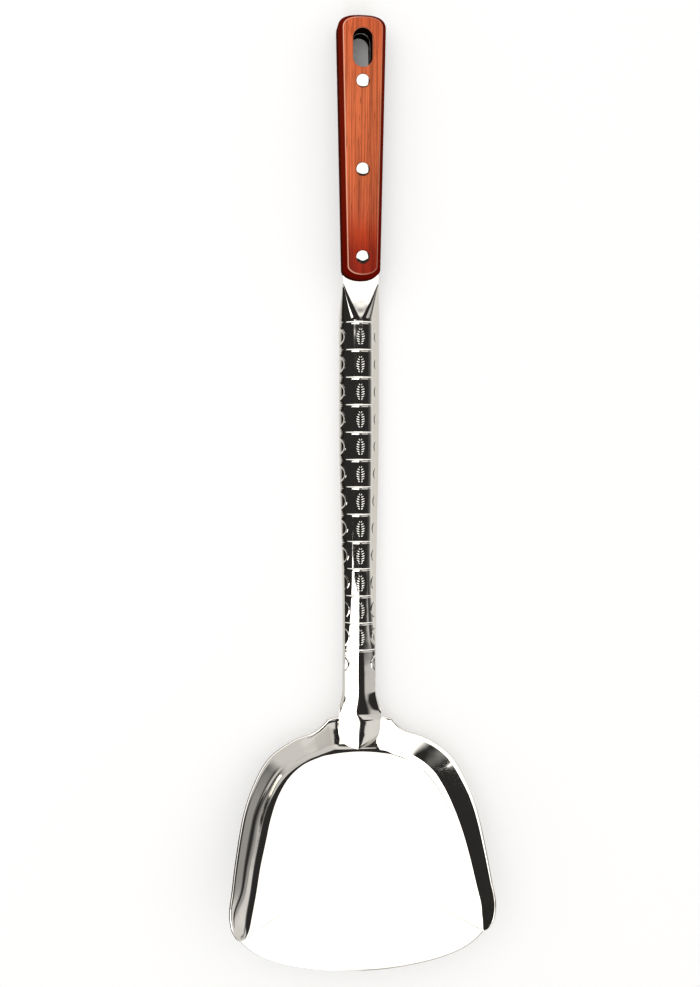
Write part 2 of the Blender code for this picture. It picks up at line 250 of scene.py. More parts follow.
def wall_stations():
    """Rows of the wall table on a smooth curve, from the middle of the heel to the right tip."""
    table = np.array(WALL_TABLE)
    found = [mix(table[0], table[1], k / LAND_STEPS) for k in range(LAND_STEPS)]
    rows = np.vstack([2 * table[1] - table[2], table[1:], 2 * table[-1] - table[-2]])
    for a, b, c, d in zip(rows, rows[1:], rows[2:], rows[3:]):
        for k in range(CURVE_STEPS):
            t = k / CURVE_STEPS
            curve = 2 * b + (c - a) * t + (2 * a - 5 * b + 4 * c - d) * t**2
            found.append((curve + (3 * b - a - 3 * c + d) * t**3) / 2)
    found.append(rows[-2])
    return np.array(found) * [SIDE_LENGTH, HALF_TIP, WALL_FLARE, 1, 1, 1, 1, 1]


def wall_profile(flare, crease, ledge, inner, outer, fillet, ledge_slope=LEDGE_SLOPE):
    """Outward and upward places across the wall: fillet, inner facet, narrow flat ledge, outer facet.
    Crease, ledge and fillet are in flares, the facets' slopes in radians."""
    top_slope = FILLET_TOP_SLOPE * tan(inner)
    rounded = fillet * flare
    points = []
    for share in np.linspace(0, 1, 13):
        slope = FILLET_LOW_SLOPE + (top_slope - FILLET_LOW_SLOPE) * share / 2
        points.append(np.array((share * rounded, rounded * share * slope)))
    start = points[-1]
    width = ledge * flare
    run = max(crease * flare - width / 2 - rounded, 0.12 * flare)
    low = start + run * np.array((1, tan(inner)))
    high = low + width * np.array((1, ledge_slope))
    rim = high + (flare - high[0]) * np.array((1, tan(outer)))
    under_ledge = mix(low, start, 0.06)
    over_ledge = mix(high, rim, 0.05)
    points += [mix(start, under_ledge, share) for share in (0.12, 0.5, 1.0)]
    points += [mix(low, high, share) for share in (0.25, 0.75)]
    points += [mix(over_ledge, rim, share) for share in (0.0, 0.2, 0.4, 0.6, 0.8, 1.0)]
    return np.array(points)


def wall_side(stations, turn, right):
    """Rows of points round one half of the blade. The right wall has a wider fillet and one slope."""
    rows = []
    for station, (step_down, step_across) in zip(stations, turn):
        down, across, flare, crease, ledge, inner, outer, soft = station
        inner = radians(inner)
        outer = radians(outer)
        profile = wall_profile(flare, crease, ledge, inner, outer, FILLET_OUT)
        if right:
            rise = soft * flare * (FILLET_LOW_SLOPE + FILLET_TOP_SLOPE * tan(inner)) / 2
            slope = atan2(profile[-1][1] - rise, flare * (1 - soft))
            crease = max(crease, soft + 0.15)
            profile = wall_profile(flare, crease, RIGHT_LEDGE, slope, slope, soft, tan(slope))
        out = np.array((step_down, step_across)) / sqrt(step_down**2 + step_across**2)
        # Behind the middle of the floor the fillet starts on an arch, though the wall there is flat. The
        # arch ends between 9 and 15 mm to the side
        arch = (down - across**2 / (2 * ARCH_RADIUS)) * (1 - smooth((across - 0.009) / 0.006))
        row = []
        for go, up in profile:
            back = HEEL - down + out[1] * go + arch * max(1 - go / (FILLET_OUT * flare), 0)
            row.append((across + out[0] * go, back, SHEET + up))
        rows.append(row)
    return np.array(rows)


def wall_grid():
    """The wall's upper face: rows across it from the left tip round the heel to the right tip."""
    stations = wall_stations()
    turn = np.gradient(stations[:, :2], axis=0)
    turn[:LAND_STEPS] = (0, 1)
    # Near the tip the wall keeps its direction
    tip = np.argmax(stations[:, 0] > 0.9 * SIDE_LENGTH)
    turn[tip:] = turn[tip]
    right = wall_side(stations, turn, True)
    left = wall_side(stations, turn, False)[:0:-1] * (-1, 1, 1)
    return np.concatenate([left, right])


def wall_directions(grid):
    """Directions out of the sheet, so that its under side lies one sheet away all over."""
    along = np.gradient(grid, axis=0)
    over = np.gradient(grid, axis=1)
    # Where the wall meets the floor the sheet is level
    over[:, 0] = over[:, 0] * (1, 1, 0)
    found = np.cross(over, along)
    found /= np.linalg.norm(found, axis=2, keepdims=True)
    found *= np.sign(found[:, :, 2:3] + 1e-9)
    found[:, 0] = (0, 0, 1)
    return found


def front_edge(count=90):
    """The open edge from the right tip round to the left one, without the tips themselves."""
    points = []
    tip = WALL_TABLE[-1][1] * HALF_TIP
    for x in np.linspace(tip, -tip, count)[1:-1]:
        across = abs(x) / tip
        bow = 1 - 0.67 * across**2 - 0.33 * across**8
        points.append((x, HEEL - SIDE_LENGTH - FRONT_BOW * bow))
    return points


def blade_face():
    """The blade's upper face: its points, their directions, its faces and the loop round its edge."""
    grid = wall_grid()
    rows, columns = grid.shape[:2]
    points = [tuple(p) for p in grid.reshape(-1, 3)]
    directions = [tuple(d) for d in wall_directions(grid).reshape(-1, 3)]
    faces = []
    for i in range(rows - 1):
        for j in range(columns - 1):
            a = i * columns + j
            faces.append((a, a + 1, a + columns + 1, a + columns))
    open_edge = front_edge()
    front = list(range(len(points), len(points) + len(open_edge)))
    points += [(x, y, SHEET) for x, y in open_edge]

    # The flat floor in rings about its middle
    floor_edge = [i * columns for i in range(rows)] + front
    count = len(floor_edge)
    last = floor_edge
    for share in FLOOR_RINGS:
        ring = list(range(len(points), len(points) + count))
        points += [(points[k][0] * share, points[k][1] * share, SHEET) for k in floor_edge]
        for k in range(count):
            n = (k + 1) % count
            faces.append((last[k], last[n], ring[n], ring[k]))
        last = ring
    middle = len(points)
    points.append((0.0, 0.0, SHEET))
    faces += [(last[k], last[(k + 1) % count], middle) for k in range(count)]
    directions += [(0, 0, 1)] * (len(points) - len(directions))

    right_tip = (rows - 1) * columns
    loop = [i * columns + columns - 1 for i in range(rows)]
    loop += [right_tip + j for j in range(columns - 2, 0, -1)]
    loop += [right_tip, *front, 0, *range(1, columns - 1)]
    return np.array(points), np.array(directions), faces, loop


def make_blade(material):
    top, directions, faces, loop = blade_face()
    under = top - SHEET * directions
    points = [tuple(p) for p in top] + [tuple(p) for p in under]
    count = len(top)
    faces += [tuple(k + count for k in face[::-1]) for face in faces]

    # The sheet's edge all round, a little rounded
    along = np.roll(top[loop], -1, axis=0) - np.roll(top[loop], 1, axis=0)
    outward = np.cross(along, directions[loop])
    outward /= np.linalg.norm(outward, axis=1, keepdims=True) + 1e-12
    blade_middle = np.array((0.0, 0.0, 0.005))
    if ((top[loop] - blade_middle) * outward).sum() < 0:
        outward = -outward
    levels = [loop]
    half_way = (top[loop] + under[loop]) / 2
    for angle in (35, 90, 145):
        place = half_way + cos(radians(angle)) * (top[loop] - half_way)
        place = place + sin(radians(angle)) * SHEET_EDGE_BULGE * outward
        levels.append(list(range(len(points), len(points) + len(loop))))
        points += [tuple(p) for p in place]
    levels.append([k + count for k in loop])
    for near, far in zip(levels, levels[1:]):
        for k in range(len(loop)):
            n = (k + 1) % len(loop)
            faces.append((near[k], near[n], far[n], far[k]))
    mesh = mesh_of("blade_sheet", points, faces)
    close_and_turn_out(mesh)
    place_piece("blade_sheet", mesh, material, ["blade"], sharp=50)


def wall_seat():
    """The straight part of the rear wall's inner face, as its low end, its top and its slope."""
    flare = HEEL_FLARE * WALL_FLARE
    low = Vector((HEEL + FILLET_OUT * flare, SHEET + FILLET_RISE * WALL_HEIGHT))
    top = Vector((HEEL + flare, SHEET + WALL_HEIGHT))
    return low, top, atan2(top.y - low.y, top.x - low.x)


SEAT_LOW, SEAT_TOP, SEAT_SLOPE = wall_seat()
SEAT_WAY = Vector((cos(SEAT_SLOPE), sin(SEAT_SLOPE)))
SEAT_OUT = Vector((-sin(SEAT_SLOPE), cos(SEAT_SLOPE)))
SHANK_WAY = Vector((cos(RISE), sin(RISE)))
TANGENT = BEND_RADIUS * tan((SEAT_SLOPE - RISE) / 2)
CORNER = SEAT_TOP + SEAT_OUT * (GAP + STRIP) + SEAT_WAY * TANGENT
REACH = (SEAT_TOP - SEAT_LOW).length + TANGENT


def shank_path(place):
    """A point on the shank's crown line as (y, z), and the slope there."""
    if place <= -TANGENT:
        return CORNER + place * SEAT_WAY, SEAT_SLOPE
    if place >= TANGENT:
        return CORNER + place * SHANK_WAY, RISE
    angle = mix(SEAT_SLOPE, RISE, (place + TANGENT) / (2 * TANGENT))
    end = CORNER + TANGENT * SHANK_WAY
    centre = end - BEND_RADIUS * Vector((-sin(RISE), cos(RISE)))
    return centre + BEND_RADIUS * Vector((-sin(angle), cos(angle))), angle


def grip_half(along):
    """Half of the grip's width, at a length from its low end."""
    return mix(GRIP_LOW, GRIP_TOP, along / GRIP_LENGTH) / 2


def strip_half(place):
    """Half of the strip's width."""
    round_end = TONGUE_ROUND - REACH
    if place < round_end:
        return HALF_TONGUE * sqrt(max(1 - ((round_end - place) / TONGUE_ROUND) ** 2, 0.004))
    if place < NECK_END:
        return mix(HALF_TONGUE, NECK / 2, smooth((place - TANGENT) / FLATTEN))
    if place < SPADE_POINT:
        return mix(NECK, CHANNEL, smooth((place - NECK_END) / (WIDE_START - NECK_END))) / 2
    narrowing = smooth((place - SPADE_POINT) / (GRIP_START - SPADE_POINT))
    return mix(CHANNEL, GRIP_LOW - 2 * GAP, narrowing) / 2


def crown_fall(place, share):
    """How far the arched strip lies below its crown line, at a share of its half width."""
    aside = np.abs(share)
    opened = smooth((place - TANGENT) / FLATTEN)
    spade = float(np.clip((place - SPADE_POINT) / SPADE_LENGTH, 0, 1))
    flat = mix(0.06, 0.94, spade)
    full = CHANNEL_DEPTH * min(strip_half(place) / (CHANNEL / 2), 1) * opened * (1 - spade) ** 0.8
    # Low on the shank the arch opens slowly and only the strip's edges turn all the way down
    soft = full * mix(0.50, 1, smooth((place - 0.012) / 0.055)) * smooth((place + 0.004) / 0.040)
    fall = soft * (np.maximum(aside - flat, 0) / (1 - flat)) ** 2
    edge_start = 0.90
    edge_width = 0.10
    fall = fall + (full - soft) * smooth((aside - edge_start) / edge_width)
    # The tongue keeps a low crown, and its rounded end bends up a little
    tongue = 1 - smooth((place - 0.004) / 0.022)
    fall = fall + TONGUE_CROWN * (tongue * aside**2 - 1 + smooth((place - 0.02) / 0.09))
    return fall - TONGUE_END_LIFT * (1 - smooth((place + REACH) / 0.014))


def embossed(place, share, half):
    """Height of the pressed ribs and the rings at the strip's edges, less the weld's dimple."""
    rise = np.zeros_like(share)
    aside = np.abs(share)
    for rib in RIBS:
        off = abs(place - rib)
        if off < RIB_HALF_CREST + RIB_FALL:
            crest = 1 - smooth((off - RIB_HALF_CREST) / RIB_FALL)
            rise += RIB_HEIGHT * crest * (1 - smooth((aside - 0.97) / 0.03))
    weld_share = ((place - WELD_PLACE) ** 2 + (share * half - WELD_ACROSS) ** 2) / WELD_RADIUS**2
    rise -= WELD_DEPTH * np.maximum(1 - weld_share, 0) ** 2
    # The strip's edges slope down, so lengths in from the edge are longer on the steel than seen
    from_edge = (1 - aside) * half * (1 + 0.9 * aside**2)
    for k in range(RIB_COUNT):
        off = place - (RIBS[0] - RIB_PITCH / 2 + k * RIB_PITCH)
        if abs(off) < RING_RADIUS + RING_HALF_WIDTH:
            away = np.sqrt(off**2 + (from_edge + RING_OFF_EDGE) ** 2)
            rise += RING_HEIGHT * np.maximum(1 - ((away - RING_RADIUS) / RING_HALF_WIDTH) ** 2, 0) ** 2
    return rise


def shank_places():
    """Places of the strip's rows, closest over the ribs."""
    tip = [-REACH + TONGUE_ROUND * (1 - cos(radians(a))) for a in np.linspace(6, 90, 22)]
    plain = np.arange(tip[-1] + 0.0005, RIBBED_START, 0.0004)
    ribbed = list(np.arange(RIBBED_START, RIBBED_END, 0.00031))
    ribbed += [rib + step for rib in RIBS for step in np.arange(-0.0008, 0.0008, 0.0001)]
    ribbed = np.unique(np.round(ribbed, 5))
    spade = np.arange(RIBBED_END, STRIP_END, 0.0004)
    return tip + [float(place) for part in (plain, ribbed, spade) for place in part]


def make_shank(material):
    # Shares of the half width, closer together towards the edges
    crowding = 0.82
    over = np.sin(np.linspace(-pi / 2, pi / 2, 75) * crowding) / sin(pi / 2 * crowding)
    under = np.linspace(0.985, -0.985, 15)
    step = 0.01
    points = []
    for place in shank_places():
        (y, z), slope = shank_path(place)
        half = strip_half(place)
        lift = embossed(place, over, half) - crown_fall(place, over)
        ring = [(half * u, y - v * sin(slope), z + v * cos(slope)) for u, v in zip(over, lift)]
        # The under side lies one strip thickness away across the arch
        drop = crown_fall(place, under + step) - crown_fall(place, under - step)
        tilt = np.arctan(-drop / (2 * step * max(half, 1e-5)))
        for u, angle in zip(under, tilt):
            v = -crown_fall(place, np.array(u)) - STRIP * cos(angle)
            ring.append((half * u + STRIP * sin(angle), y - v * sin(slope), z + v * cos(slope)))
        points.append(ring)
    points = np.array(points)
    rows, columns = points.shape[:2]
    faces = []
    for i in range(rows - 1):
        for j in range(columns):
            k = (j + 1) % columns
            faces.append((i * columns + j, i * columns + k, (i + 1) * columns + k, (i + 1) * columns + j))
    faces.append(tuple(range(columns))[::-1])
    faces.append(tuple((rows - 1) * columns + j for j in range(columns)))
    mesh = mesh_of("shank_strip", points.reshape(-1, 3), faces)
    close_and_turn_out(mesh)
    place_piece("shank_strip", mesh, material, ["shank"], sharp=42)


def ear_layout(material):
    """Node tree that lays out all the ears on a flat plane, X across the strip and Y along it."""
    tree = bpy.data.node_groups.new("wheat_ears", "GeometryNodeTree")
    for name in EAR_COUNTS:
        tree.interface.new_socket(name, in_out="INPUT", socket_type="NodeSocketInt")
    for name in EAR_SIZES:
        tree.interface.new_socket(name, in_out="INPUT", socket_type="NodeSocketFloat")
    tree.interface.new_socket("Geometry", in_out="OUTPUT", socket_type="NodeSocketGeometry")
    given = add_node(tree, "NodeGroupInput").outputs

    # Two grains side by side, slanting away from each other
    ball = add_node(tree, "GeometryNodeMeshUVSphere", {"Segments": 8, "Rings": 5, "Radius": 1.0})
    shape = add_node(
        tree,
        "ShaderNodeCombineXYZ",
        {0: given["Grain Width"], 1: given["Grain Length"], 2: given["Grain Height"]},
    )
    pair = add_node(tree, "GeometryNodeJoinGeometry")
    for side in (1, -1):
        turn = add_node(tree, "ShaderNodeMath", {0: given["Slant"], 1: -side}, operation="MULTIPLY")
        angle = add_node(tree, "ShaderNodeCombineXYZ", {2: turn.outputs[0]})
        shift = add_node(tree, "ShaderNodeMath", {0: given["Column Offset"], 1: side}, operation="MULTIPLY")
        where = add_node(tree, "ShaderNodeCombineXYZ", {0: shift.outputs[0]})
        grain = add_node(
            tree,
            "GeometryNodeTransform",
            {"Geometry": ball.outputs[0], "Scale": shape.outputs[0]},
        )
        turned = add_node(
            tree,
            "GeometryNodeTransform",
            {"Geometry": grain.outputs[0], "Rotation": angle.outputs[0], "Translation": where.outputs[0]},
        )
        tree.links.new(turned.outputs[0], pair.inputs[0])

    # Rows of pairs make an ear, narrower towards both ends
    row_step = add_node(tree, "ShaderNodeCombineXYZ", {1: given["Row Pitch"]})
    line = add_node(tree, "GeometryNodeMeshLine", {"Count": given["Rows"], "Offset": row_step.outputs[0]})
    index = add_node(tree, "GeometryNodeInputIndex")
    span = add_node(tree, "ShaderNodeMath", {0: given["Rows"], 1: 1.0}, operation="SUBTRACT")
    share = add_node(tree, "ShaderNodeMath", {0: index.outputs[0], 1: span.outputs[0]}, operation="DIVIDE")
    centred = add_node(tree, "ShaderNodeMath", {0: share.outputs[0], 1: EAR_WIDEST}, operation="SUBTRACT")
    square = add_node(tree, "ShaderNodeMath", {0: centred.outputs[0], 1: 2.0}, operation="POWER")
    slim = add_node(tree, "ShaderNodeMath", {0: square.outputs[0], 1: EAR_TAPER}, operation="MULTIPLY")
    width = add_node(tree, "ShaderNodeMath", {0: 1.0, 1: slim.outputs[0]}, operation="SUBTRACT")
    scale = add_node(tree, "ShaderNodeCombineXYZ", {0: width.outputs[0], 1: 1.0, 2: 1.0})
    ear = add_node(
        tree,
        "GeometryNodeInstanceOnPoints",
        {"Points": line.outputs[0], "Instance": pair.outputs[0], "Scale": scale.outputs[0]},
    )
    ear_step = add_node(tree, "ShaderNodeCombineXYZ", {1: given["Ear Pitch"]})
    ears = add_node(tree, "GeometryNodeMeshLine", {"Count": given["Ears"], "Offset": ear_step.outputs[0]})
    laid = add_node(
        tree,
        "GeometryNodeInstanceOnPoints",
        {"Points": ears.outputs[0], "Instance": ear.outputs[0]},
    )
    real = add_node(tree, "GeometryNodeRealizeInstances", {0: laid.outputs[0]})
    steel = add_node(tree, "GeometryNodeSetMaterial", {"Geometry": real.outputs[0], "Material": material})
    add_node(tree, "NodeGroupOutput", {0: steel.outputs[0]})
    return tree


def make_ears(material):
    """Pressed ears of wheat between the ribs, on the arch of the crown."""
    holder = put_in_scene("ears_holder", bpy.data.meshes.new("ears_holder"))
    modifier = holder.modifiers.new("ears", "NODES")
    modifier.node_group = ear_layout(material)
    for item in modifier.node_group.interface.items_tree:
        if item.in_out == "INPUT":
            modifier[item.identifier] = {**EAR_COUNTS, **EAR_SIZES}[item.name]
    evaluated = holder.evaluated_get(bpy.context.evaluated_depsgraph_get())
    mesh = bpy.data.meshes.new_from_object(evaluated)
    bpy.data.objects.remove(holder, do_unlink=True)

    # Each point follows the arch, then the whole goes up the shank
    middle_row = EAR_COUNTS["Rows"] // 2
    first = RIBS[0] + RIB_PITCH / 2 - middle_row * EAR_SIZES["Row Pitch"]
    points = np.empty(len(mesh.vertices) * 3)
    mesh.vertices.foreach_get("co", points)
    points = points.reshape(-1, 3)
    for k, (x, along, up) in enumerate(points):
        place = float(along + first)
        lift = up - float(crown_fall(place, np.array(x / strip_half(place))))
        (y, z), slope = shank_path(place)
        points[k] = (x, y - lift * sin(slope), z + lift * cos(slope))
    mesh.vertices.foreach_set("co", points.ravel())
    mesh.update()
    mesh.name = "wheat_ears"
    place_piece("wheat_ears", mesh, None, sharp=80)


def cap_curve(depth, power, steps=26):
    """One side of a rounded end as (share across, depth), from the side to the middle."""
    found = []
    for k in range(steps + 1):
        angle = pi / 2 * (k / steps)
        found.append((abs(cos(angle)) ** (2 / power), depth * sin(angle) ** (2 / power)))
    return found


def grip_outline(inset):
    """The grip's outline drawn in by inset, as a closed loop of (x, place)."""
    low_depth = GRIP_LOW_DEPTH - 0.6 * inset
    top_depth = GRIP_TOP_DEPTH - 0.6 * inset
    half = []
    for across, depth in reversed(cap_curve(low_depth, GRIP_LOW_POWER)):
        y = inset + low_depth - depth
        half.append((across * (grip_half(y) - inset), GRIP_START + y))
    for k in range(1, 24):
        y = mix(inset + low_depth, GRIP_LENGTH - inset - top_depth, k / 24)
        half.append((grip_half(y) - inset, GRIP_START + y))
    for across, depth in cap_curve(top_depth, GRIP_TOP_POWER):
        y = GRIP_LENGTH - inset - top_depth + depth
        half.append((across * (grip_half(y) - inset), GRIP_START + y))
    return half + [(-x, y) for x, y in half[-2:0:-1]]


def slot_outline(grow, steps=20):
    """The hanging slot's outline, grown all round."""
    radius = SLOT_RADIUS + grow
    points = []
    for centre, start in ((SLOT_HIGH - SLOT_RADIUS, 0), (SLOT_LOW + SLOT_RADIUS, pi)):
        for k in range(steps + 1):
            angle = start + pi * k / steps
            points.append((radius * cos(angle), centre + radius * sin(angle)))
    return points


def circle_outline(place, radius, steps=40):
    turns = [2 * pi * k / steps for k in range(steps)]
    return [(radius * cos(a), place + radius * sin(a)) for a in turns]


def at_height(outline, height):
    return [(x, place, height) for x, place in outline]


def loft(name, rings):
    """A solid through rings of (x, place, height), in the grip's own flat places."""
    points = [p for ring in rings for p in ring]
    count = len(rings[0])
    faces = []
    for level in range(len(rings) - 1):
        a = level * count
        b = a + count
        for k in range(count):
            n = (k + 1) % count
            faces.append((a + k, a + n, b + n, b + k))
    faces.append(tuple(range(count))[::-1])
    faces.append(tuple((len(rings) - 1) * count + k for k in range(count)))
    return mesh_of(name, points, faces)


def cut(body_mesh, cutter_meshes):
    """The first mesh with the others cut out of it."""
    body = put_in_scene("body", body_mesh)
    cutters = [put_in_scene("cutter", mesh) for mesh in cutter_meshes]
    for cutter in cutters:
        modifier = body.modifiers.new("cut", "BOOLEAN")
        modifier.object = cutter
        modifier.operation = "DIFFERENCE"
        modifier.solver = "EXACT"
    evaluated = body.evaluated_get(bpy.context.evaluated_depsgraph_get())
    mesh = bpy.data.meshes.new_from_object(evaluated)
    for thing in [body, *cutters]:
        bpy.data.objects.remove(thing, do_unlink=True)
    return mesh


def up_the_shank(mesh):
    """From the grip's flat places to the frame, on the shank's slope."""
    mesh.transform(Matrix.Translation((0, CORNER.x, CORNER.y)) @ Matrix.Rotation(RISE, 4, "X"))
    mesh.update()


def make_scales(material):
    """Two scales, each sawn with upright sides, a leaning bevel and softly rubbed edges."""
    thick = SCALE_THICKNESS
    # How far the outline is drawn in, and at what height
    sides = (
        (0.00025, 0.0),
        (0.0, 0.00025),
        (0.0, 0.0026),
        (0.00004, 0.0028),
        (0.00015, 0.00300),
        (0.00155, 0.00575),
        (0.00172, 0.00608),
        (0.00190, 0.00634),
        (0.00212, 0.00652),
        (0.00240, thick),
    )
    # How far each opening grows, and at what height
    slot_sides = (
        (0.0, -0.001),
        (0.0, thick - 0.0004),
        (0.00012, thick - 0.00016),
        (0.0005, thick + 0.0001),
        (0.0009, thick + 0.0005),
    )
    hole_sides = (
        (0.0001, -0.001),
        (0.0001, thick - 0.00015),
        (0.0004, thick + 0.00015),
        (0.0007, thick + 0.00045),
    )
    body = loft("scale", [at_height(grip_outline(inset), height) for inset, height in sides])
    cutters = [loft("slot", [at_height(slot_outline(grow), height) for grow, height in slot_sides])]
    for place in PIN_PLACES:
        rings = [at_height(circle_outline(place, PIN_RADIUS + grow), height) for grow, height in hole_sides]
        cutters.append(loft("hole", rings))
    front = cut(body, cutters)
    back = front.copy()
    back.transform(Matrix.Diagonal((1, 1, -1, 1)))
    back.flip_normals()
    front.transform(Matrix.Translation((0, 0, GAP)))
    back.transform(Matrix.Translation((0, 0, -STRIP - GAP)))
    for mesh, node in ((front, "front_scale"), (back, "back_scale")):
        up_the_shank(mesh)
        place_piece(node + "_wood", mesh, material, [node], sharp=32)


def make_tang(material):
    """The strip's flat end between the scales, with its own slot a little smaller than the wood's."""
    right = [(x, y) for x, y in grip_outline(GAP) if x >= 0 and y > TANG_START + 0.001]
    left = [(-x, y) for x, y in right[::-1] if x > 1e-6]
    low_half = GRIP_LOW / 2 - GAP
    outline = [(low_half, TANG_START), *right, *left, (-low_half, TANG_START)]
    slot = slot_outline(-0.0002)
    body = loft("tang", [at_height(outline, -STRIP), at_height(outline, 0.0)])
    mesh = cut(body, [loft("slot", [at_height(slot, -0.003), at_height(slot, 0.003)])])
    up_the_shank(mesh)
    place_piece("tang", mesh, material, sharp=30)


def make_rivets(material):
    """Pins with low domed heads, peened and polished level with the wood."""
    under = -STRIP - GRIP_FACE
    # Radius and height, from the front head to the back one
    profile = (
        (0.0007, GRIP_FACE + 0.00006),
        (0.0013, GRIP_FACE + 0.000055),
        (0.0020, GRIP_FACE + 0.00004),
        (0.0024, GRIP_FACE - 0.00001),
        (PIN_RADIUS, GRIP_FACE - 0.00018),
        (PIN_RADIUS, under + 0.00022),
        (0.0023, under + 0.00003),
        (0.0018, under - 0.00004),
        (0.0013, under - 0.0001),
        (0.0007, under - 0.00013),
    )
    for name, place in zip(("lower_rivet", "middle_rivet", "upper_rivet"), PIN_PLACES):
        rings = [at_height(circle_outline(place, radius, 48), height) for radius, height in profile]
        mesh = loft(name, rings)
        close_and_turn_out(mesh)
        up_the_shank(mesh)
        place_piece(name + "_pin", mesh, material, [name], sharp=40)


def polished_stainless():
    """18/10 stainless, pressed and buffed to a mirror: dark and white reflections with soft waves."""
    material = bpy.data.materials.new("polished_stainless")
    material.use_nodes = True
    tree = material.node_tree
    shader = tree.nodes["Principled BSDF"]
    shader.inputs["Metallic"].default_value = 1.0
    where = add_node(tree, "ShaderNodeTexCoord").outputs["Object"]
    # The wheel leaves patches of haze about 11 mm wide, and waves about 6 mm wide
    haze = add_node(tree, "ShaderNodeTexNoise", {"Vector": where, "Scale": 90.0, "Detail": 3.0})
    rough = add_node(
        tree,
        "ShaderNodeMapRange",
        {"Value": haze.outputs[0], "From Min": 0.35, "From Max": 0.7, "To Min": 0.035, "To Max": 0.075},
    )
    tint = add_node(
        tree,
        "ShaderNodeMix",
        {"Factor": haze.outputs[0], 6: linear("#c9c5bd"), 7: linear("#d0ccc5")},
        data_type="RGBA",
    )
    waves = add_node(tree, "ShaderNodeTexNoise", {"Vector": where, "Scale": 160.0, "Detail": 1.0})
    bump = add_node(
        tree,
        "ShaderNodeBump",
        {"Height": waves.outputs[0], "Strength": 0.05, "Distance": 0.0006},
    )
    tree.links.new(tint.outputs["Result"], shader.inputs["Base Color"])
    tree.links.new(rough.outputs[0], shader.inputs["Roughness"])
    tree.links.new(bump.outputs[0], shader.inputs["Normal"])
    return material


def pressed_stainless():
    """The same stainless where the buffing wheel can't reach: the pressed grains keep a bright satin."""
    material = bpy.data.materials.new("pressed_stainless")
    material.use_nodes = True
    tree = material.node_tree
    shader = tree.nodes["Principled BSDF"]
    shader.inputs["Metallic"].default_value = 1.0
    shader.inputs["Base Color"].default_value = linear("#eceae4")
    where = add_node(tree, "ShaderNodeTexCoord").outputs["Object"]
    # The die's own frost is far finer. One of about 1 mm is the finest that shows
    frost = add_node(tree, "ShaderNodeTexNoise", {"Vector": where, "Scale": 900.0, "Detail": 2.0})
    rough = add_node(
        tree,
        "ShaderNodeMapRange",
        {"Value": frost.outputs[0], "From Min": 0.3, "From Max": 0.7, "To Min": 0.50, "To Max": 0.62},
    )
    tree.links.new(rough.outputs[0], shader.inputs["Roughness"])
    return material


